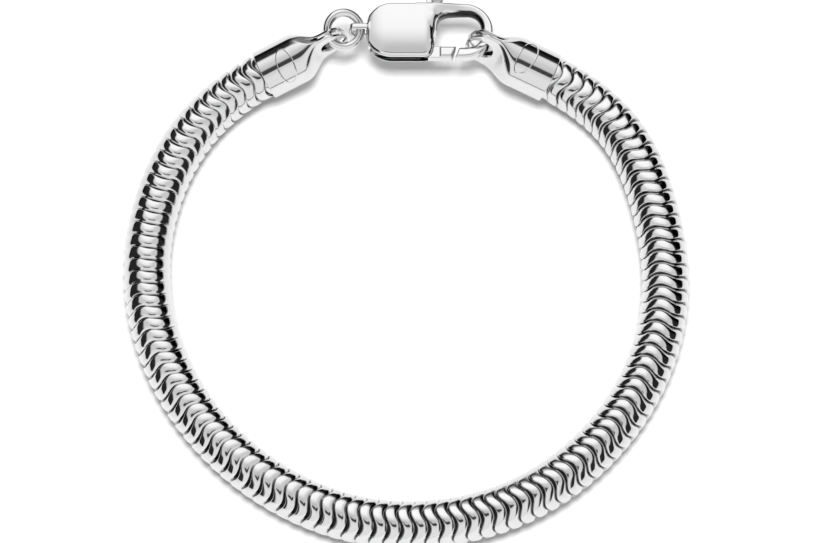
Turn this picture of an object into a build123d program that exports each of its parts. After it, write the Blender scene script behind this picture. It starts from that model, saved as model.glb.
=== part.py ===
from build123d import *
import math
import os

os.makedirs("parts", exist_ok=True)

# Chain links, millimetres and degrees throughout
link_radius = 3.03
link_sides = 16
link_waves = 4
link_band = 1.2
link_space = 0.46
link_wave = 0.38
link_mouth_inset = 0.42
link_mouth_depth = 0.5
link_tail_inset = 1.05
link_tail_reach = 1.0
end_link_play = 0.14
end_link_depth = 1.1
rim_space = 0.42

# Route of the chain seen from above, from the left cap round the front to the right cap
route_points = [
    (-25.48, 23.03), (-31.75, 12.52), (-33.65, 0.17), (-30.93, -11.86), (-24.57, -21.89), (-15.77, -29.15),
    (-5.39, -33.13), (3.6, -33.5), (13.74, -30.89), (23.23, -24.42), (30.26, -14.79), (33.58, -2.95),
    (32.5, 9.39), (27.71, 20.72),
]

# Height the chain's ends rise by, and the slope they end with
chain_lift = 1.0
end_slope = 13.0

# End caps
cap_play = 0.26
cap_wall = 0.36
cap_oval = 0.1
cap_tube_length = 5.0
cap_taper_length = 3.6
cap_tongue_length = 3.5
cap_tongue_width = 6.8
cap_slit = 0.6
cap_hole_radius = 1.7
cap_hole_from_tip = 2.1
cap_taper_steps = 3
ring_cap_heading = 24.4
ring_cap_lean = -2.0
clasp_cap_heading = 22.5
clasp_cap_lean = 13.0
clasp_cap_play = 0.1

# Clasp body
clasp_middle = (2.89, 33.0)
clasp_length = 17.36
clasp_width = 7.9
clasp_thickness = 3.6
clasp_rounding = 0.9
head_length = 9.82
head_corner = 1.0
arm_width = 1.7
arm_thickness = 1.9
arm_rounding = 0.7
opening_squareness = 0.45
hook_angle = 37.0
tail_flat = 0.53

# Eye on the clasp's tail
eye_width = 1.4
eye_bar = 0.45
eye_leg = 0.45
eye_height = 3.06
eye_drop = 0.22
eye_offset = 0.5
eye_room = 0.5
eye_rounding = 0.3

# Lever, its slot and its pin
pivot_x = 0.0
pivot_inset = 2.25
lever_thickness = 1.3
lever_play = 0.1
lever_hub_radius = 0.95
lever_neck_width = 0.8
lever_neck_x = 0.15
gate_reach = 3.78
gate_space = 0.33
gate_inset = 0.08
gate_thickness = 1.8
gate_head_gap = 0.31
tab_length = 1.6
tab_width = 2.34
tab_corner = 0.5
slot_play = 0.12
slot_depth = 1.75
lever_swing = 25.0
pin_radius = 0.4
pin_length = 3.0
pin_end_play = 0.05
pin_body_play = 0.02
pin_lever_play = 0.05

# Jump ring
ring_radius = 2.24
ring_wire_radius = 0.6
ring_space = 0.14
ring_forward = 20.0
ring_turn = 11.0
ring_offset = 0.33
ring_raise = 0.19
ring_cap_angle = 221.0
ring_cap_play = 0.0

# Sizes that follow from the ones above
corner_radius = link_radius / math.cos(math.pi / link_sides)
mouth_radius = link_radius - link_mouth_inset
tail_radius = link_radius - link_tail_inset
cap_radius = corner_radius + cap_play
cap_bore = cap_radius - cap_wall
cap_length = cap_tube_length + cap_taper_length + cap_tongue_length
cap_hole_from_rim = cap_length - cap_hole_from_tip
tongue_thickness = cap_slit + 2 * cap_wall
rim_height = link_radius + chain_lift
clasp_height = rim_height + cap_hole_from_rim * math.sin(math.radians(end_slope))
clasp_end_radius = clasp_width / 2
pivot_y = pivot_inset - clasp_end_radius
head_face = head_length - clasp_length / 2
tail_face = tail_flat - clasp_length / 2
slot_thickness = lever_thickness + 2 * lever_play
hook_centre = clasp_length / 2 - clasp_end_radius
arm_middle = clasp_end_radius - arm_width / 2
opening_corner = clasp_end_radius - arm_width - opening_squareness


def heading(angle, slope):
    """A unit direction from its angle seen from above and its slope."""
    flat = math.cos(math.radians(slope))
    return Vector(
        flat * math.cos(math.radians(angle)),
        flat * math.sin(math.radians(angle)),
        math.sin(math.radians(slope)),
    )


def upright(direction, lean):
    """The direction square to the given one that points up, leaned sideways by an angle."""
    side = Vector(0, 0, 1).cross(direction).normalized()
    up = direction.cross(side).normalized()
    return up * math.cos(math.radians(lean)) + side * math.sin(math.radians(lean))


def link_solid(scale):
    """One round link: a wavy band, an open mouth in front and a tail narrowing behind."""

    def vertex_ring(flat_radius, back):
        """Corners round the route, in pairs before and behind on a wave."""
        share = flat_radius / link_radius
        points = []
        for i in range(link_sides):
            angle = 2 * math.pi * (i + 0.5) / link_sides
            wave = share * math.copysign(link_wave, math.cos(link_waves * angle))
            radius = share * corner_radius
            points.append(Vector(radius * math.cos(angle), radius * math.sin(angle), wave - back) * scale)
        return points

    front = vertex_ring(link_radius, 0)
    rear = vertex_ring(link_radius, link_band)
    tail = vertex_ring(tail_radius, link_band + link_tail_reach)
    mouth = vertex_ring(mouth_radius, link_mouth_depth)
    faces = []
    for first, second in ((front, rear), (rear, tail), (tail, mouth), (mouth, front)):
        for i in range(link_sides):
            j = (i + 1) % link_sides
            faces.append(Face(Wire.make_polygon([first[i], first[j], second[j], second[i]])))
    return Solid(Shell(faces))


def cap_plane(hole_middle, angle, lean):
    """Where a cap sits: its rim is the origin, its axis is Z and its tongue's width is X."""
    axis = heading(angle, end_slope)
    return Plane(origin=hole_middle - axis * cap_hole_from_rim, x_dir=upright(axis, lean), z_dir=axis)


def ring_plane():
    """The jump ring's plane, with its wire just clear of the clasp's tail."""
    tilt = Location((0, 0, 0), (ring_forward, 0, 0)) * Location((0, 0, 0), (0, ring_turn, 0))
    across = Plane(tilt).x_dir
    middle = Vector(
        clasp_middle[0] + tail_face - ring_space - ring_wire_radius - ring_radius * across.X,
        clasp_middle[1] + ring_offset,
        clasp_height + ring_raise,
    )
    return Plane(origin=middle, x_dir=across, z_dir=Plane(tilt).z_dir)


def hook_middle():
    """The point of the hook that the right cap hangs on."""
    return Vector(
        clasp_middle[0] + hook_centre + arm_middle * math.cos(math.radians(hook_angle)),
        clasp_middle[1] - arm_middle * math.sin(math.radians(hook_angle)),
        clasp_height,
    )


def ring_cap_plane():
    """The left cap, its hole round the jump ring's wire, which hangs a little toward the tip."""
    angle = math.radians(ring_cap_angle)
    wire = ring_plane().from_local_coords(
        Vector(ring_radius * math.cos(angle), ring_radius * math.sin(angle), 0)
    )
    wire = Vector(wire.X, wire.Y, clasp_height)
    axis = heading(ring_cap_heading, end_slope)
    return cap_plane(wire - axis * ring_cap_play, ring_cap_heading, ring_cap_lean)


def clasp_cap_plane():
    """The right cap, its hole round the clasp's hook."""
    axis = heading(180 - clasp_cap_heading, end_slope)
    return cap_plane(hook_middle() + axis * clasp_cap_play, 180 - clasp_cap_heading, -clasp_cap_lean)


def chain_route(start, end):
    """The chain's middle line: flat on the floor, bending up to the caps at both ends."""
    points = [(start.origin.X, start.origin.Y)]
    points += route_points
    points.append((end.origin.X, end.origin.Y))
    start_way = (-start.z_dir.X, -start.z_dir.Y)
    end_way = (end.z_dir.X, end.z_dir.Y)
    return Spline(*points, tangents=[start_way, end_way], tangent_scalars=[1, 1])


def route_plane(line, distance):
    """The frame of a link on the route: Z along the chain and X upward."""
    slope_limit = math.tan(math.radians(end_slope))
    lift_length = 2 * chain_lift / slope_limit
    share = distance / line.length
    from_end = min(distance, line.length - distance)
    inside = max(0, lift_length - from_end)
    slope = slope_limit * min(1, inside / lift_length)
    rise = chain_lift * min(1, inside / lift_length) ** 2
    toward = 1 if distance > line.length / 2 else -1
    place = line @ share
    way = line % share
    along = Vector(way.X, way.Y, toward * slope).normalized()
    return Plane(origin=(place.X, place.Y, link_radius + rise), x_dir=upright(along, 0), z_dir=along)


def make_chain():
    """All the links, one after another from the left cap to the right, and a small one in each cap."""
    start = ring_cap_plane()
    end = clasp_cap_plane()
    line = chain_route(start, end)
    link = link_solid(1)
    small = link_solid((cap_bore - end_link_play) / corner_radius)
    first = rim_space + link_band + link_wave
    last = line.length - rim_space - link_wave
    count = round((last - first) / (link_band + link_space))
    links = []
    for i in range(count + 1):
        distance = first + (last - first) * i / count
        links.append(route_plane(line, distance).location * link)
    inward = Plane(origin=start.origin, x_dir=start.x_dir, z_dir=start.z_dir * -1)
    links.append(inward.offset(-end_link_depth).location * small)
    links.append(end.offset(end_link_depth).location * small)
    return Compound(children=links)


def cap_form(radius, width, thickness):
    """A round tube that flattens to a tongue, from slot-shaped sections."""
    tube = SlotOverall(2 * radius + cap_oval, 2 * radius)
    tongue = SlotOverall(width, thickness)
    sections = []
    for i in range(cap_taper_steps + 1):
        share = i / cap_taper_steps
        ease = (1 - math.cos(math.pi * share)) / 2
        section_width = 2 * radius + cap_oval + (width - 2 * radius - cap_oval) * ease
        section_thickness = 2 * radius + (thickness - 2 * radius) * ease
        at = cap_tube_length + cap_taper_length * share
        sections.append(Plane.XY.offset(at) * SlotOverall(section_width, section_thickness))
    form = extrude(tube, amount=cap_tube_length)
    form += loft(sections, ruled=True)
    form += extrude(Plane.XY.offset(cap_tube_length + cap_taper_length) * tongue, amount=cap_tongue_length)
    return form


def make_cap(place):
    """An end cap: open at the rim, its tongue round at the tip, slit and pierced."""
    outside = cap_form(cap_radius, cap_tongue_width, tongue_thickness)
    inside = cap_form(cap_bore, cap_tongue_width - 2 * cap_wall, cap_slit)
    tip_radius = cap_tongue_width / 2
    outline = Pos(cap_length - tip_radius, 0) * Circle(tip_radius)
    body_length = cap_length - tip_radius
    outline += Pos(body_length / 2, 0) * Rectangle(body_length, 3 * cap_radius)
    side_view = Plane(origin=(0, 0, 0), x_dir=(0, 0, 1), z_dir=(0, 1, 0))
    trim = extrude(side_view * outline, amount=2 * cap_radius, both=True)
    hole = Pos(0, 0, cap_hole_from_rim) * Rot(90, 0, 0) * Cylinder(cap_hole_radius, 4 * cap_radius)
    cap = (outside - inside) & trim
    return place.location * (cap - hole)


def make_ring():
    """The jump ring, closed and round."""
    return ring_plane().location * Torus(ring_radius, ring_wire_radius)


def clasp_place():
    """The clasp's middle; X runs from its tail to its hook."""
    return Location((clasp_middle[0], clasp_middle[1], clasp_height))


def clasp_box(x0, x1, y0, y1, height):
    """A block in the clasp's own frame, centred in height."""
    return Pos((x0 + x1) / 2, (y0 + y1) / 2) * Box(x1 - x0, y1 - y0, height)


def clasp_head():
    """The thick end of the clasp, rounded all round."""
    outline = SlotOverall(clasp_length, clasp_width)
    outline &= Pos(head_face - clasp_length, 0) * Rectangle(2 * clasp_length, 2 * clasp_width)
    corner = outline.vertices().sort_by(Axis.X)[-2:].sort_by(Axis.Y)[0]
    outline = fillet(corner, head_corner)
    head = extrude(outline, amount=clasp_thickness / 2, both=True)
    rims = head.edges().group_by(Axis.Z)[0] + head.edges().group_by(Axis.Z)[-1]
    head = fillet(rims, clasp_rounding)
    return head - clasp_box(-clasp_length, tail_face, -clasp_width, clasp_width, 2 * clasp_thickness)


def clasp_arms():
    """The hook: a band round the opening, cut where the gate closes it."""
    opening_length = clasp_length / 2 - arm_width - head_face
    opening = Rectangle(2 * opening_length, clasp_width - 2 * arm_width)
    opening = Pos(head_face, 0) * fillet(opening.vertices(), opening_corner)
    outline = SlotOverall(clasp_length, clasp_width) - opening
    arms = extrude(outline, amount=arm_thickness / 2, both=True)
    rims = arms.edges().group_by(Axis.Z)[0] + arms.edges().group_by(Axis.Z)[-1]
    arms = fillet(rims, arm_rounding)
    arms -= clasp_box(-clasp_length, head_face - clasp_rounding, -clasp_width, clasp_width, clasp_thickness)
    gate_room = Pos(pivot_x, pivot_y) * Cylinder(gate_reach + gate_space, 2 * clasp_thickness)
    gate_side = arm_width - clasp_end_radius + gate_space
    near = clasp_box(-clasp_length, clasp_length, -clasp_width, gate_side, clasp_thickness)
    return arms - (gate_room & near)


def lever_room():
    """The slot in the clasp's thick end that the lever swings in."""
    far = clasp_end_radius + tab_length
    near = -clasp_end_radius - tab_length
    neck_right = lever_neck_x + lever_neck_width / 2 + slot_play
    neck_left = lever_neck_x - lever_neck_width / 2 - slot_play
    swing = (clasp_end_radius - pivot_y) * math.tan(math.radians(lever_swing))
    hub = lever_hub_radius + slot_play
    sweep = Polyline(
        (neck_right, pivot_y), (neck_right, far), (neck_left - swing - slot_play, far),
        (neck_left - swing - slot_play, clasp_end_radius - tab_length), (pivot_x - hub, pivot_y),
        close=True,
    )
    room = make_face(sweep) + Pos(pivot_x, pivot_y) * Circle(hub)
    room = extrude(room, amount=slot_thickness / 2, both=True)
    room += clasp_box(pivot_x, head_face + 1, near, pivot_y + hub / 2, slot_thickness)
    room += clasp_box(-clasp_length, head_face + 1, near, slot_depth - clasp_end_radius, slot_thickness)
    return room


def tail_eye():
    """The strap on the clasp's tail that the jump ring runs through."""
    inner_length = 2 * ring_wire_radius + ring_space + eye_room
    outer_x = tail_face - inner_length - eye_bar
    root_x = tail_face + clasp_rounding
    middle_x = (outer_x + root_x) / 2
    side_view = Plane(origin=(0, eye_offset, 0), x_dir=(1, 0, 0), z_dir=(0, -1, 0))
    outside = RectangleRounded(root_x - outer_x, eye_height, eye_rounding + eye_bar)
    inside = Pos(eye_bar, 0) * RectangleRounded(root_x - outer_x, eye_height - 2 * eye_leg, eye_rounding)
    strap = Pos(middle_x, -eye_drop) * (outside - inside)
    return extrude(side_view * strap, amount=eye_width / 2, both=True)


def make_clasp():
    """The clasp's body: thick end, hook and tail eye in one, slotted for the lever and drilled for its pin."""
    pin_hole = Pos(pivot_x, pivot_y) * Cylinder(pin_radius + pin_body_play, pin_length + 2 * pin_end_play)
    body = clasp_head() + clasp_arms() + tail_eye()
    return clasp_place() * (body - lever_room() - pin_hole)


def make_lever():
    """The lever: hub on the pin, gate across the hook's mouth and thumb tab on the far side."""
    gate_outer = gate_inset - clasp_end_radius
    gate_inner = gate_outer + arm_width - gate_inset
    neck_left = lever_neck_x - lever_neck_width / 2
    tab_foot = clasp_end_radius + slot_play
    blade = Pos(pivot_x, pivot_y) * Circle(lever_hub_radius)
    gate = Pos(gate_reach / 2, (gate_outer + gate_inner) / 2) * Rectangle(gate_reach * 2, gate_inner - gate_outer)
    gate &= Pos(pivot_x, pivot_y) * Circle(gate_reach)
    gate &= Pos(pivot_x + gate_reach, pivot_y) * Rectangle(2 * gate_reach, 4 * gate_reach)
    neck_length = tab_foot + tab_length / 2 - pivot_y
    neck = Pos(lever_neck_x, pivot_y + neck_length / 2) * Rectangle(lever_neck_width, neck_length)
    tab = Pos(neck_left + tab_width / 2, tab_foot + tab_length / 2) * RectangleRounded(
        tab_width, tab_length, tab_corner
    )
    lever = extrude(blade + gate + neck + tab, amount=lever_thickness / 2, both=True)
    thick = gate & Pos(head_face + gate_head_gap + gate_reach, 0) * Rectangle(2 * gate_reach, 4 * gate_reach)
    lever += extrude(thick, amount=gate_thickness / 2, both=True)
    lever -= Pos(pivot_x, pivot_y) * Cylinder(pin_radius + pin_lever_play, clasp_thickness)
    return clasp_place() * lever


def make_pin():
    """The lever's pin, closed in by the body above and below."""
    return clasp_place() * Pos(pivot_x, pivot_y) * Cylinder(pin_radius, pin_length)


pieces = {
    "snake_chain": make_chain(),
    "ring_end_cap": make_cap(ring_cap_plane()),
    "clasp_end_cap": make_cap(clasp_cap_plane()),
    "jump_ring": make_ring(),
    "clasp_body": make_clasp(),
    "clasp_lever": make_lever(),
    "lever_pin": make_pin(),
}

# The finished bracelet stands on the floor with its bounding box's bottom middle at the origin
boxes = [piece.bounding_box() for piece in pieces.values()]
low = Vector(min(b.min.X for b in boxes), min(b.min.Y for b in boxes), min(b.min.Z for b in boxes))
high = Vector(max(b.max.X for b in boxes), max(b.max.Y for b in boxes), max(b.max.Z for b in boxes))
shift = Pos(-(low.X + high.X) / 2, -(low.Y + high.Y) / 2, -low.Z)
for name, piece in pieces.items():
    export_step(shift * piece, f"parts/{name}.step")
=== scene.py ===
import bpy
import bmesh
import math
import numpy as np
from mathutils import Matrix, Vector


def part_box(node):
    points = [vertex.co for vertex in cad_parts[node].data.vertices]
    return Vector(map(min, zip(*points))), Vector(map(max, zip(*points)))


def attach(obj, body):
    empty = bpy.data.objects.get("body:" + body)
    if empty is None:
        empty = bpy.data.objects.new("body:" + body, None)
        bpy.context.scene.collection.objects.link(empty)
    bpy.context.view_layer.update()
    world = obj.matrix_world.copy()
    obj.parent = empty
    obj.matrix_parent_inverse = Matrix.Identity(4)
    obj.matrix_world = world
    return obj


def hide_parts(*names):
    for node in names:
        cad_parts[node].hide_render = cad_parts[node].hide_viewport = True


MM = 0.001
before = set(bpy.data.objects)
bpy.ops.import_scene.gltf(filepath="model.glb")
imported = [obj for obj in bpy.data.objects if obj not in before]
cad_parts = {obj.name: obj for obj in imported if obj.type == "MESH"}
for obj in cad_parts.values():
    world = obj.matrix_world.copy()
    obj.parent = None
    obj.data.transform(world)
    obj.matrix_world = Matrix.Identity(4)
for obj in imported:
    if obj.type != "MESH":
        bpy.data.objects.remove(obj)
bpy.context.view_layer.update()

# Camera: straight from the front, high above the table
VIEW_ELEVATION = 70.0
VIEW_DISTANCE = 588.6 * MM
VIEW_LENS = 200.0
VIEW_TARGET = Vector((0.185, -0.335, 3.05)) * MM
CAMERA_WAY = (0.0, -0.342, 0.940)
SOFTBOX_WAY = (-0.05, 0.643, 0.766)
ARC_MIDDLE = (0.0, -0.087, 0.996)

# Chain skin: rows run along one link, as (place along the link, height above the band), in millimetres
LINK_ROWS = (
    (-0.80, -0.55), (-0.80, -0.12), (-0.77, -0.04), (-0.70, -0.008), (-0.45, 0.0), (-0.16, -0.001),
    (0.02, -0.016), (0.16, -0.049), (0.28, -0.10), (0.40, -0.18), (0.57, -0.31), (0.61, -0.40), (0.63, -0.55),
)
LINK_COLUMNS = 70
LINK_RADIUS = 3.05
LINK_SHIFT = 0.38
LINK_CRESTS = 4
SEAM_CLOSING = 0.15
END_LINK_PITCH = 0.85
END_LINK_SCALE = 0.97
# Painted shade: rows lying deeper than the start below the band are coloured dark, fully so over the reach
PAINTED_SHADE_START = -0.30
PAINTED_SHADE_REACH = 0.20

# How far the waves are turned round the chain, in degrees, and how high they are, by link number
LINK_TWISTS = ((0, 22), (18, -7), (31, -35), (52, -59), (86, -113), (104, -140))
LINK_WAVES = ((0, 0.36), (18, 0.22), (30, 0.30), (42, 0.40), (62, 0.40), (86, 0.28), (104, 0.36))

# Clasp, in millimetres in its own frame: X from tail to hook, Y to the far side, Z up
CLASP_LENGTH = 17.36
CLASP_WIDTH = 7.9
CLASP_END = CLASP_WIDTH / 2
HEAD_FACE = 1.14
HEAD_HEIGHT = 1.8
HEAD_POWER = 2.3
HEAD_CORNER = 1.6
NEAR_CROWN = 0.62
FAR_CROWN = 0.25
TAIL_FACE = -8.15
TAIL_DROP = 0.75
ARM_WIDTH = 1.7
ARM_HEIGHT = 1.02
ARM_SWELL = 0.72
ARM_TILT = 0.26
ARM_START = -1.5
OPENING_LENGTH = CLASP_LENGTH / 2 - ARM_WIDTH - HEAD_FACE
OPENING_CORNER = 1.8
ROOT_CORNER = 1.7
WALL_MARGIN = 0.55
WALL_HEIGHT = 0.98
WALL_BLEND = 0.12
CLASP_STEP = 0.08

# Eye on the clasp's tail
STRAP_MIDDLE = -8.845
STRAP_HOLE_MIDDLE = -8.395
STRAP_HALF_LENGTH = 1.595
STRAP_DROP = 0.22
STRAP_OFFSET = 0.5

# Lever and the slot that it swings in
PIVOT = (0.0, -1.7)
HUB_RADIUS = 0.95
HUB_ROOM = 1.07
GATE_REACH = 3.78
GATE_SPACE = 0.33
GATE_ROOM = 4.11
GATE_HALF_WIDTH = 0.81
GATE_INSET = 0.89
LEVER_HEIGHT = 0.65
NECK_PLACE = 0.15
TAB_PLACE = 0.92
TAB_STANDOUT = 0.92
SLOT_HEIGHT = 0.75
SLOT_LEFT = -3.125
SLOT_RIGHT = 2.14
SLOT_FRONT = -2.2
SLOT_BACK = 2.35
SLOT_TAB_SIDE = 0.67
SLOT_CORNER = -1.165

# End caps: a cap's own Z runs from its rim to its tip and X across its tongue
CAP_RADIUS = 3.349
CAP_HALF_WIDTH = 3.399
CAP_BORE = 2.989
CAP_BORE_HALF_WIDTH = 3.039
CAP_STEEPNESS = 0.85
CAP_SLOPE = 13.0
CAP_SLANT = 28.0
CAP_TOP = 3.45
CAP_TOP_DROP = 0.73
CAP_STEP = 0.1
TAPER_START = 4.6
TAPER_LENGTH = 4.4
TONGUE_THICKNESS = 0.66
TONGUE_SLIT = 0.30
TONGUE_RADIUS = 3.4
TONGUE_START = 8.0
TONGUE_MIDDLE = 8.7
CAP_HOLE_RADIUS = 1.7
CAP_HOLE_PLACE = 10.0
OVAL_RADIUS = 3.35
OVAL_WIDTH = 1.1
OVAL_LENGTH = 2.5
OVAL_TILT = 0.1
RING_CAP_HOLE = (-12.7485, -1.1613, 0.0)
CLASP_CAP_HOLE = (7.206, -1.866, 0.0)

SILVER = (0.69, 0.69, 0.694, 1)
# The dark colour below is painted shade, laid on the chain's seam floors and on the far inner wall of the
# hook's opening
PAINTED_SHADE = (0.03, 0.03, 0.031, 1)

# Studio: its even level, what is added or taken away in parts of it, and the strength of the whole
WORLD_LEVEL = 0.76
SOFTBOX_GAIN = 0.50
FRONT_GAIN = 0.20
CAMERA_DARK = 0.12
ARC_DARK = 0.92
WORLD_STRENGTH = 1.37

# Dark screens: way, cosines where one starts and is full, heights where it is full and ends, depth
SCREENS = (
    ((1, 0.12, 0.0), 0.54, 0.68, 0.54, 0.64, 0.97), ((-1, 0.12, 0.0), 0.46, 0.60, 0.58, 0.72, 0.97),
    ((0, 1, 0.0), 0.74, 0.88, 0.40, 0.58, 0.50),
    ((0.66, 0.75, 0.0), 0.74, 0.86, 0.56, 0.66, 0.95), ((0.1, 1, 0.0), 0.70, 0.84, 0.24, 0.36, 0.65),
    ((-0.6, 0.8, 0.0), 0.80, 0.90, 0.16, 0.24, 0.60),
)


def clean_mesh(node):
    """A welded copy of a CAD node's mesh, as a bmesh."""
    bm = bmesh.new()
    bm.from_mesh(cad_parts[node].data)
    bmesh.ops.remove_doubles(bm, verts=bm.verts, dist=2e-6)
    return bm


def new_object(name, bm, body, *nodes):
    """Makes an object of a bmesh, rides it on its body and lets it stand for the CAD nodes."""
    mesh = bpy.data.meshes.new(name)
    bm.to_mesh(mesh)
    bm.free()
    obj = bpy.data.objects.new(name, mesh)
    bpy.context.scene.collection.objects.link(obj)
    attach(obj, body)
    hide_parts(*nodes)
    return obj


def shade(obj, angle=None):
    """Smooth shading, with edges sharper than the angle kept."""
    for face in obj.data.polygons:
        face.use_smooth = True
    if angle is not None:
        bm = bmesh.new()
        bm.from_mesh(obj.data)
        for edge in bm.edges:
            if len(edge.link_faces) == 2 and edge.calc_face_angle() > math.radians(angle):
                edge.smooth = False
        bm.to_mesh(obj.data)
        bm.free()


def node_tree(material):
    """A material's node tree, emptied."""
    material.use_nodes = True
    tree = material.node_tree
    tree.nodes.clear()
    return tree


def add(tree, kind, **inputs):
    """Adds a node and sets its inputs by name."""
    node = tree.nodes.new(kind)
    for key, value in inputs.items():
        node.inputs[key.replace("_", " ")].default_value = value
    return node


def silver(name, painted_shade=False, oval=False):
    """Polished silver, faintly wavy and finely marked, with painted shade where a mark darkens it, or with a
    raised oval line.
    """
    material = bpy.data.materials.new(name)
    tree = node_tree(material)
    out = tree.nodes.new("ShaderNodeOutputMaterial")
    metal = add(tree, "ShaderNodeBsdfPrincipled", Metallic=1.0, Roughness=0.06, Base_Color=SILVER)
    place = tree.nodes.new("ShaderNodeTexCoord")
    wide = add(tree, "ShaderNodeTexNoise", Scale=220.0, Detail=2.0)
    fine = add(tree, "ShaderNodeTexNoise", Scale=2600.0, Detail=3.0)
    rough = add(tree, "ShaderNodeMapRange", From_Min=0.3, From_Max=0.75, To_Min=0.035, To_Max=0.11)
    bump = add(tree, "ShaderNodeBump", Strength=0.10, Distance=0.00006)
    tree.links.new(place.outputs["Object"], wide.inputs["Vector"])
    tree.links.new(place.outputs["Object"], fine.inputs["Vector"])
    tree.links.new(fine.outputs["Fac"], rough.inputs["Value"])
    tree.links.new(wide.outputs["Fac"], bump.inputs["Height"])
    tree.links.new(rough.outputs["Result"], metal.inputs["Roughness"])
    tree.links.new(bump.outputs["Normal"], metal.inputs["Normal"])
    tree.links.new(metal.outputs["BSDF"], out.inputs["Surface"])
    if oval:
        line = tree.nodes.new("ShaderNodeAttribute")
        line.attribute_name = "oval"
        ridge = add(tree, "ShaderNodeMapRange", From_Min=0.02, From_Max=0.10, To_Min=1.0, To_Max=0.0)
        off_line = tree.nodes.new("ShaderNodeMath")
        off_line.operation = "ABSOLUTE"
        raised = add(tree, "ShaderNodeBump", Strength=1.0, Distance=0.00004)
        tree.links.new(line.outputs["Fac"], off_line.inputs[0])
        tree.links.new(off_line.outputs["Value"], ridge.inputs["Value"])
        tree.links.new(ridge.outputs["Result"], raised.inputs["Height"])
        tree.links.new(bump.outputs["Normal"], raised.inputs["Normal"])
        tree.links.new(raised.outputs["Normal"], metal.inputs["Normal"])
    # Painted shade: the mark mixes the silver toward the dark colour
    if painted_shade:
        depth = tree.nodes.new("ShaderNodeAttribute")
        depth.attribute_name = "painted_shade"
        painted_mix = tree.nodes.new("ShaderNodeMix")
        painted_mix.data_type = "RGBA"
        painted_mix.inputs["A"].default_value = SILVER
        painted_mix.inputs["B"].default_value = PAINTED_SHADE
        tree.links.new(depth.outputs["Fac"], painted_mix.inputs["Factor"])
        tree.links.new(painted_mix.outputs["Result"], metal.inputs["Base Color"])
    return material


def chain_links():
    """Where the CAD chain's links are: middles in order round the loop, from the left cap to the right."""
    bm = clean_mesh("snake_chain")
    bm.verts.ensure_lookup_table()
    seen = set()
    middles = []
    for start in bm.verts:
        if start.index in seen:
            continue
        island = []
        stack = [start]
        seen.add(start.index)
        while stack:
            vert = stack.pop()
            island.append(vert.co.copy())
            for edge in vert.link_edges:
                other = edge.other_vert(vert)
                if other.index not in seen:
                    seen.add(other.index)
                    stack.append(other)
        middles.append(sum(island, Vector()) / len(island))
    bm.free()
    middles.sort(key=lambda m: (math.degrees(math.atan2(m.y, m.x)) - 90) % 360)
    return middles


def build_chain():
    """The chain as one round skin: wavy pillowed bands with deep seams between them, whose floors get painted
    shade.
    """
    middles = chain_links()
    count = len(middles)
    middles[0] = middles[1] + (middles[1] - middles[2]) * END_LINK_PITCH
    middles[-1] = middles[-2] + (middles[-2] - middles[-3]) * END_LINK_PITCH
    angles = [2 * math.pi * i / LINK_COLUMNS for i in range(LINK_COLUMNS)]
    bm = bmesh.new()
    painted_shade = bm.verts.layers.float.new("painted_shade")
    rows = []
    for i, middle in enumerate(middles):
        before = middles[max(0, i - 1)]
        after = middles[min(count - 1, i + 1)]
        along = (after - before).normalized()
        side = Vector((0, 0, 1)).cross(along).normalized()
        up = along.cross(side)
        small = END_LINK_SCALE if i in (0, count - 1) else 1.0
        twist = math.radians(float(np.interp(i, *zip(*LINK_TWISTS))))
        swing = float(np.interp(i, *zip(*LINK_WAVES)))
        for place, height in LINK_ROWS:
            row = []
            for angle in angles:
                radius = (LINK_RADIUS + height) * small * MM
                crest = math.cos(LINK_CRESTS * (angle - twist))
                close = SEAM_CLOSING * (1 - max(0, crest)) * min(1, max(0, (place + 0.1) / 0.5))
                wave = swing * crest * (LINK_RADIUS + height) / LINK_RADIUS * small * MM
                outward = up * math.cos(angle) - side * math.sin(angle)
                spot = middle + along * ((place + close + LINK_SHIFT) * small * MM + wave) + outward * radius
                vert = bm.verts.new(spot)
                # Painted shade: rows deep in a seam are marked to be coloured dark
                vert[painted_shade] = min(1.0, max(0.0, (PAINTED_SHADE_START - height) / PAINTED_SHADE_REACH))
                row.append(vert)
            rows.append(row)
    for first, second in zip(rows, rows[1:]):
        for j in range(len(angles)):
            k = (j + 1) % len(angles)
            bm.faces.new((first[j], first[k], second[k], second[j]))
    bm.faces.new(rows[0])
    bm.faces.new(list(reversed(rows[-1])))
    bmesh.ops.recalc_face_normals(bm, faces=bm.faces)
    chain = new_object("chain_skin", bm, "bracelet", "snake_chain")
    shade(chain)
    chain.data.materials.append(silver("chain_silver", painted_shade=True))


def ease_max(a, b, reach):
    """The larger of two fields, rounded where they meet."""
    near = np.maximum(reach - np.abs(a - b), 0) / reach
    return np.maximum(a, b) + near * near * reach / 4


def ease_min(a, b, reach):
    """The smaller of two fields, filled where they meet."""
    return -ease_max(-a, -b, reach)


def slot_outline(x, y, length, width):
    """Distance from a long round-ended outline, negative inside."""
    return np.hypot(np.maximum(np.abs(x) - (length - width) / 2, 0), y) - width / 2


def block_outline(x, y, half_x, half_y, corner):
    """Distance from a rectangle with round corners, negative inside."""
    out_x = np.abs(x) - half_x + corner
    out_y = np.abs(y) - half_y + corner
    outside = np.hypot(np.maximum(out_x, 0), np.maximum(out_y, 0))
    return outside + np.minimum(np.maximum(out_x, out_y), 0) - corner


def pillow(outline, z, reach, half_height, power):
    """A flat outline raised to a pillow: its edges round off over a reach."""
    edge = np.maximum(1 + outline / reach, 0)
    total = edge ** power + (np.abs(z) / half_height) ** power
    return (total ** (1 / power) - 1) * reach


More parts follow.
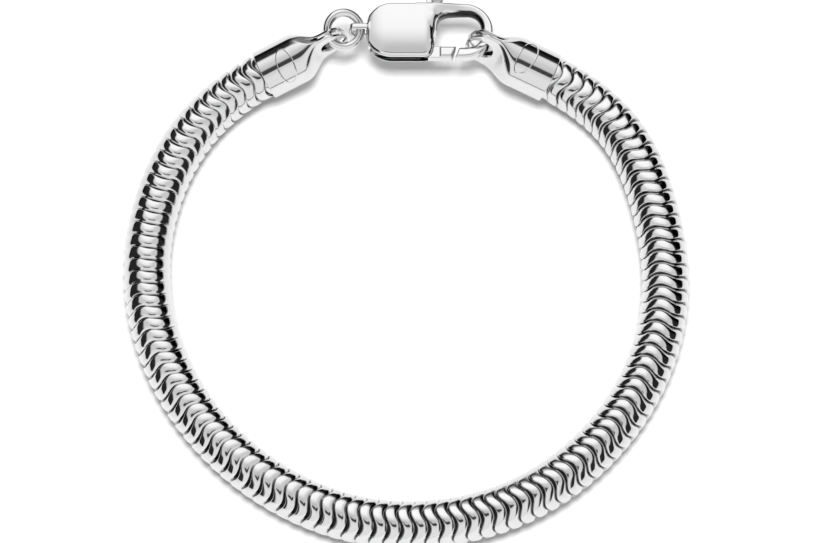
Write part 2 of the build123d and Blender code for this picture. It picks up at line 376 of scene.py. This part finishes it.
def clasp_head(x, y, z, outline):
    """The thick end, crowned across and dropping toward the tail."""
    rounded = ease_max(outline, x - HEAD_FACE, HEAD_CORNER)
    crown = np.where(y > 0, FAR_CROWN, NEAR_CROWN) * (y / CLASP_END) ** 2
    top = HEAD_HEIGHT - crown - TAIL_DROP * np.clip((-4.9 - x) / 3.3, 0, 1.2) ** 2
    total = (np.abs(z) / np.maximum(top, 0.3)) ** HEAD_POWER
    for edge, reach in ((rounded, 0.6), (x - HEAD_FACE, 1.8), (TAIL_FACE - x, 0.4)):
        total = total + np.maximum(1 + edge / reach, 0) ** HEAD_POWER
    return (total ** (1 / HEAD_POWER) - 1) * 1.1


def opening_outline(x, y):
    """Distance from the hook's opening, negative inside."""
    return block_outline(x - HEAD_FACE, y, OPENING_LENGTH, CLASP_END - ARM_WIDTH, OPENING_CORNER)


def clasp_arms(x, y, z, outline, hub):
    """The hook round the opening, swelling into the thick end on the far side and left open at the gate."""
    corner = block_outline(x - HEAD_FACE - 10, y - CLASP_END + ARM_WIDTH + 10, 10, 10, ROOT_CORNER)
    opening = np.maximum(opening_outline(x, y), corner)
    swell = ARM_SWELL
    for share in (np.clip((5.2 - x) / 4.4, 0, 1), np.clip((y + 1.0) / 3.2, 0, 1)):
        swell = swell * share * share * (3 - 2 * share)
    height = ARM_HEIGHT + swell - ARM_TILT * np.clip(-outline / ARM_WIDTH, 0, 1)
    arms = pillow(np.maximum(outline, -opening), z, 0.7, height, 2.6)
    mouth = np.maximum(hub - GATE_ROOM, y - ARM_WIDTH - GATE_SPACE + CLASP_END)
    return np.maximum(ease_max(arms, -mouth, 0.25), ARM_START - x)


def tail_strap(x, y, z):
    """The strap on the tail that the jump ring runs through."""
    strap = block_outline(x - STRAP_MIDDLE, z + STRAP_DROP, STRAP_HALF_LENGTH, 1.40, 0.75)
    hole = block_outline(x - STRAP_HOLE_MIDDLE, z + STRAP_DROP, STRAP_HALF_LENGTH, 1.02, 0.3)
    return ease_max(np.maximum(strap, -hole), np.abs(y - STRAP_OFFSET) - 0.48, 0.4)


def lever_slot(x, y, z, hub):
    """The room that the lever swings in, a flat slot."""
    lean = (-SLOT_LEFT - HUB_ROOM) / (SLOT_BACK - PIVOT[1])
    left_side = (-HUB_ROOM - lean * (y - PIVOT[1]) - x) / math.hypot(1, lean)
    sweep = np.maximum(np.maximum(x - SLOT_TAB_SIDE, left_side), np.maximum(SLOT_LEFT - x, PIVOT[1] - y))
    front = np.maximum(y - SLOT_FRONT, x - SLOT_RIGHT)
    corner = np.maximum(np.maximum(-x, y - SLOT_CORNER), x - SLOT_RIGHT)
    room = np.minimum(np.minimum(sweep, front), np.minimum(hub - HUB_ROOM, corner))
    return np.maximum(room, np.abs(z) - SLOT_HEIGHT)


def clasp_field(x, y, z):
    """The clasp's body: domed thick end, hook and tail eye, slotted for the lever."""
    outline = slot_outline(x, y, CLASP_LENGTH, CLASP_WIDTH)
    hub = np.hypot(x - PIVOT[0], y - PIVOT[1])
    head = clasp_head(x, y, z, outline)
    arms = clasp_arms(x, y, z, outline, hub)
    body = ease_min(head, arms, np.clip((x + 0.5) / 2.1, 0.02, 1.0))
    body = ease_min(body, tail_strap(x, y, z), 0.3)
    return ease_max(body, -lever_slot(x, y, z, hub), 0.12)


def lever_field(x, y, z):
    """The lever: hub, gate, neck and thumb tab, turning on its pin."""
    hub = np.hypot(x - PIVOT[0], y - PIVOT[1])
    gate_y = y + CLASP_END - GATE_INSET
    thin = block_outline(x - GATE_REACH / 2, gate_y, GATE_REACH / 2, GATE_HALF_WIDTH, 0.1)
    thin = np.maximum(thin, hub - GATE_REACH)
    tab_y = CLASP_END + TAB_STANDOUT
    neck = block_outline(x - NECK_PLACE, y - (tab_y + PIVOT[1]) / 2, 0.4, (tab_y - PIVOT[1]) / 2, 0.1)
    blade = np.minimum(np.minimum(hub - HUB_RADIUS, thin), neck)
    blade = ease_max(blade, np.abs(z) - LEVER_HEIGHT, 0.12)
    tab = pillow(block_outline(x - TAB_PLACE, y - tab_y, 1.17, 0.8, 0.5), z, 0.6, LEVER_HEIGHT, 2.6)
    gate = ease_max(block_outline(x - 2.62, gate_y, 1.17, GATE_HALF_WIDTH, 0.15), hub - GATE_REACH, 0.2)
    gate = pillow(gate, z, 0.55, 0.9, 3.2)
    lever = np.minimum(blade, np.minimum(tab, gate))
    return ease_max(lever, 0.45 - hub, 0.1)


def cap_taper(place):
    """Eases from 0 at the cap's tube to 1 at its tongue."""
    share = np.clip((place - TAPER_START) / TAPER_LENGTH, 0, 1)
    return share * share * share * (share * (share * 6 - 15) + 10)


def cap_field(far):
    """An end cap: a tube that flattens to a slit tongue with a slanted top, pierced across."""
    def field(x, y, z):
        ease = cap_taper(z)
        thick = CAP_RADIUS + (TONGUE_THICKNESS - CAP_RADIUS) * ease
        outside = (np.hypot(np.maximum(np.abs(x) - (CAP_HALF_WIDTH - thick), 0), y) - thick) * CAP_STEEPNESS
        thin = CAP_BORE + (TONGUE_SLIT - CAP_BORE) * ease
        inside = (np.hypot(np.maximum(np.abs(x) - (CAP_BORE_HALF_WIDTH - thin), 0), y) - thin) * CAP_STEEPNESS
        tip = np.hypot(x, np.maximum(z - TONGUE_MIDDLE, 0)) - TONGUE_RADIUS
        slant = math.radians(CAP_SLANT)
        top = x * math.cos(slant) + far * y * math.sin(slant) - CAP_TOP + CAP_TOP_DROP * ease
        outside = ease_max(outside, top, 0.04)
        shell = ease_max(outside, -inside, 0.1)
        shell = ease_max(shell, np.where(z > TONGUE_START, tip, -z), 0.12)
        return ease_max(shell, CAP_HOLE_RADIUS - np.hypot(x, z - CAP_HOLE_PLACE), 0.12)
    return field


def field_mesh(name, field, low, high, step, place, body, *nodes):
    """A smooth mesh round the negative part of a field given in millimetres, set down at a place."""
    low = np.array(low)
    axes = [np.arange(a, b + step, step) for a, b in zip(low, high)]
    inside = field(*np.meshgrid(*axes, indexing="ij")) < 0
    total = np.zeros([n - 1 for n in inside.shape], np.int8)
    for i in (0, 1):
        for j in (0, 1):
            for k in (0, 1):
                total += inside[i:i + total.shape[0], j:j + total.shape[1], k:k + total.shape[2]]
    active = (total > 0) & (total < 8)
    index = np.full(active.shape, -1)
    index[active] = np.arange(active.sum())
    middles = low + (np.argwhere(active) + 0.5) * step

    def slope(spots):
        """The way in which the field grows, at each spot."""
        nudge = 0.004
        parts = []
        for axis in np.eye(3) * nudge:
            parts.append((field(*(spots + axis).T) - field(*(spots - axis).T)) / (2 * nudge))
        return np.stack(parts, 1)

    spots = middles.copy()
    for _ in range(6):
        way = slope(spots)
        size = np.maximum((way * way).sum(1), 0.05)
        spots = spots - way * (field(*spots.T) / size)[:, None]
        spots = middles + np.clip(spots - middles, -0.55 * step, 0.55 * step)
    quads = []
    for axis in range(3):
        solid = np.moveaxis(inside, axis, 0)
        cell = np.moveaxis(index, axis, 0)
        i, j, k = np.nonzero(solid[1:, 1:-1, 1:-1] != solid[:-1, 1:-1, 1:-1])
        quad = np.stack((cell[i, j, k], cell[i, j + 1, k], cell[i, j + 1, k + 1], cell[i, j, k + 1]), 1)
        turned = solid[i, j + 1, k + 1] == (axis == 1)
        quad[turned] = quad[turned][:, ::-1]
        quads.append(quad)
    quads = np.concatenate(quads)
    ways = slope(spots)
    ways /= np.maximum(np.linalg.norm(ways, axis=1), 1e-9)[:, None]
    turn = np.array(place.to_3x3())
    spots_out = spots @ turn.T * MM + np.array(place.translation)
    mesh = bpy.data.meshes.new(name)
    mesh.from_pydata(spots_out.tolist(), [], quads.tolist())
    for polygon in mesh.polygons:
        polygon.use_smooth = True
    mesh.normals_split_custom_set_from_vertices((ways @ turn.T).tolist())
    obj = bpy.data.objects.new(name, mesh)
    bpy.context.scene.collection.objects.link(obj)
    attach(obj, body)
    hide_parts(*nodes)
    return obj, spots


def frame_at(middle, x_way, y_way, z_way):
    """A piece's own frame set down in the scene; its middle is in millimetres."""
    turn = Matrix((x_way, y_way, z_way)).transposed().to_4x4()
    return Matrix.Translation(Vector(middle) * MM) @ turn


def clasp_middle():
    """The clasp's middle in millimetres, found from the lever's pin."""
    low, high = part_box("lever_pin")
    middle = (Vector(low) + Vector(high)) / 2 / MM
    return middle - Vector((PIVOT[0], PIVOT[1], 0))


def build_clasp():
    """The clasp's body and its lever, with painted shade on the far inner wall of the hook's opening."""
    place = frame_at(clasp_middle(), (1, 0, 0), (0, 1, 0), (0, 0, 1))
    lever, _ = field_mesh("clasp_lever_polished", lever_field, (-1.2, -4.1, -1.1), (4.1, 6.0, 1.1),
                          CLASP_STEP, place, "lever", "clasp_lever")
    body, spots = field_mesh("clasp_body_polished", clasp_field, (-10.7, -4.2, -2.1), (8.9, 4.2, 2.1),
                             CLASP_STEP, place, "bracelet", "clasp_body")
    x, y, z = spots.T
    # Painted shade: the far inner wall of the hook's opening is coloured dark, standing in for the dark
    # reflection of shade that it catches
    wall = np.clip((WALL_MARGIN - opening_outline(x, y)) / WALL_BLEND, 0, 1)
    wall *= np.clip((WALL_HEIGHT - z) / WALL_BLEND, 0, 1)
    wall *= (y > 0) * (x > HEAD_FACE - 0.3)
    mark = body.data.attributes.new("painted_shade", "FLOAT", "POINT")
    mark.data.foreach_set("value", wall.astype(np.float32))
    for obj in (body, lever):
        obj.data.materials.append(silver(obj.name + "_silver", painted_shade=obj is body))


def build_cap(node, hole, heading, lean, play, far, oval_place, oval_angle):
    """An end cap with a bare raised oval on its tube."""
    heading = math.radians(heading)
    slope = math.radians(CAP_SLOPE)
    axis = Vector((math.cos(slope) * math.cos(heading), math.cos(slope) * math.sin(heading), math.sin(slope)))
    side = Vector((0, 0, 1)).cross(axis).normalized()
    up = axis.cross(side).normalized()
    lean = math.radians(lean)
    wide = up * math.cos(lean) + side * math.sin(lean)
    middle = clasp_middle() + Vector(hole) + axis * (play - CAP_HOLE_PLACE)
    place = frame_at(middle, wide, axis.cross(wide), axis)
    cap, spots = field_mesh(node + "_polished", cap_field(far), (-3.6, -3.6, -0.3), (3.6, 3.6, 12.4),
                            CAP_STEP, place, "bracelet", node)
    along = spots[:, 2] - oval_place
    around = OVAL_RADIUS * (np.arctan2(spots[:, 1], spots[:, 0]) - math.radians(oval_angle))
    line = (np.hypot((along + OVAL_TILT * around) / OVAL_WIDTH, around / OVAL_LENGTH) - 1) * 1.3
    # Inside the tube every spot counts as far off the line
    line[np.hypot(spots[:, 0], spots[:, 1]) < 3.2] = 9.0
    mark = cap.data.attributes.new("oval", "FLOAT", "POINT")
    mark.data.foreach_set("value", line.astype(np.float32))
    cap.data.materials.append(silver(node + "_silver", oval=True))


def build_hard_piece(node, body, angle=32, edge=0.08):
    """A CAD piece with its edges eased and its curved faces shaded smooth."""
    bm = clean_mesh(node)
    obj = new_object(node + "_polished", bm, body, node)
    shade(obj, angle)
    ease = obj.modifiers.new("ease", "BEVEL")
    ease.width = edge * MM
    ease.segments = 3
    ease.limit_method = "ANGLE"
    ease.angle_limit = math.radians(angle)
    ease.harden_normals = True
    obj.data.materials.append(silver(node + "_silver"))


def build_floor():
    """A pale table with a soft sheen."""
    bm = bmesh.new()
    bmesh.ops.create_grid(bm, x_segments=1, y_segments=1, size=1.5)
    mesh = bpy.data.meshes.new("floor")
    bm.to_mesh(mesh)
    bm.free()
    floor = bpy.data.objects.new("floor", mesh)
    bpy.context.scene.collection.objects.link(floor)
    material = bpy.data.materials.new("floor")
    tree = node_tree(material)
    out = tree.nodes.new("ShaderNodeOutputMaterial")
    paint = add(tree, "ShaderNodeBsdfPrincipled", Base_Color=(0.70, 0.70, 0.70, 1), Roughness=0.45)
    place = tree.nodes.new("ShaderNodeTexCoord")
    grain = add(tree, "ShaderNodeTexNoise", Scale=400.0)
    rough = add(tree, "ShaderNodeMapRange", To_Min=0.42, To_Max=0.48)
    tree.links.new(place.outputs["Object"], grain.inputs["Vector"])
    tree.links.new(grain.outputs["Fac"], rough.inputs["Value"])
    tree.links.new(rough.outputs["Result"], paint.inputs["Roughness"])
    tree.links.new(paint.outputs["BSDF"], out.inputs["Surface"])
    floor.data.materials.append(material)


def build_world():
    """A pale studio, lit from high at the back, with a dark arc overhead and dark screens low around it."""
    world = bpy.data.worlds.new("studio")
    bpy.context.scene.world = world
    world.use_nodes = True
    tree = world.node_tree
    tree.nodes.clear()
    out = tree.nodes.new("ShaderNodeOutputWorld")
    sky = tree.nodes.new("ShaderNodeBackground")
    place = tree.nodes.new("ShaderNodeTexCoord")
    direction = place.outputs["Generated"]

    def toward(way, start, end):
        """From 0 to 1 as the direction turns toward a way, between two cosines."""
        dot = tree.nodes.new("ShaderNodeVectorMath")
        dot.operation = "DOT_PRODUCT"
        dot.inputs[1].default_value = Vector(way).normalized()
        tree.links.new(direction, dot.inputs[0])
        step = add(tree, "ShaderNodeMapRange", From_Min=start, From_Max=end)
        step.interpolation_type = "SMOOTHSTEP"
        tree.links.new(dot.outputs["Value"], step.inputs["Value"])
        return step.outputs["Result"]

    def sums(operation, first, second):
        """A math node on two numbers or sockets."""
        node = tree.nodes.new("ShaderNodeMath")
        node.operation = operation
        for socket, value in zip(node.inputs, (first, second)):
            if isinstance(value, (int, float)):
                socket.default_value = value
            else:
                tree.links.new(value, socket)
        return node.outputs["Value"]

    def times_dark(level, share, depth):
        """Darkens a level by a share of a depth."""
        return sums("MULTIPLY", level, sums("SUBTRACT", 1.0, sums("MULTIPLY", share, depth)))

    level = sums("ADD", sums("MULTIPLY", toward(SOFTBOX_WAY, 0.74, 1.0), SOFTBOX_GAIN), WORLD_LEVEL)
    level = sums("ADD", level, sums("MULTIPLY", toward((0, -1, 0.25), 0.30, 0.80), FRONT_GAIN))
    for way, start, end, full, none, depth in SCREENS:
        low = toward((0, 0, -1), -none, -full)
        level = times_dark(level, sums("MULTIPLY", toward(way, start, end), low), depth)
    level = times_dark(level, toward(CAMERA_WAY, 0.88, 0.972), CAMERA_DARK)
    inner = toward(ARC_MIDDLE, 0.976, 0.987)
    arc = sums("MULTIPLY", toward(ARC_MIDDLE, 0.90, 0.92), sums("SUBTRACT", 1.0, inner))
    level = times_dark(level, sums("MULTIPLY", arc, toward((0, -1, 0), 0.12, 0.24)), ARC_DARK)
    level = sums("MULTIPLY", level, WORLD_STRENGTH)
    tree.links.new(level, sky.inputs["Strength"])
    tree.links.new(sky.outputs["Background"], out.inputs["Surface"])


def build_light(name, place, size, power):
    """A square soft light that faces the middle of the loop."""
    data = bpy.data.lights.new(name, "AREA")
    data.shape = "SQUARE"
    data.size = size
    data.energy = power
    light = bpy.data.objects.new(name, data)
    light.location = place
    light.rotation_euler = (-light.location).to_track_quat("-Z", "Y").to_euler()
    light.visible_glossy = False
    bpy.context.scene.collection.objects.link(light)


def build_camera():
    """The photograph's camera."""
    data = bpy.data.cameras.new("camera")
    data.lens = VIEW_LENS
    data.sensor_width = 36.0
    data.clip_start = 0.01
    data.clip_end = 10.0
    camera = bpy.data.objects.new("camera", data)
    rise = math.radians(VIEW_ELEVATION)
    away = Vector((0, -math.cos(rise), math.sin(rise)))
    camera.location = VIEW_TARGET + away * VIEW_DISTANCE
    camera.rotation_euler = (-away).to_track_quat("-Z", "Y").to_euler()
    bpy.context.scene.collection.objects.link(camera)
    bpy.context.scene.camera = camera


build_chain()
build_cap("ring_end_cap", RING_CAP_HOLE, heading=24.4, lean=-2.0, play=0.0, far=-1,
          oval_place=3.4, oval_angle=25.0)
build_cap("clasp_end_cap", CLASP_CAP_HOLE, heading=157.5, lean=-13.0, play=0.1, far=1,
          oval_place=4.2, oval_angle=-14.0)
build_clasp()
build_hard_piece("jump_ring", "bracelet")
build_hard_piece("lever_pin", "bracelet", edge=0.03)
build_floor()
build_world()
build_light("top_softbox", (0.0, -0.05, 0.80), 0.22, 7.0)
build_camera()
bpy.context.scene.view_settings.view_transform = "Standard"
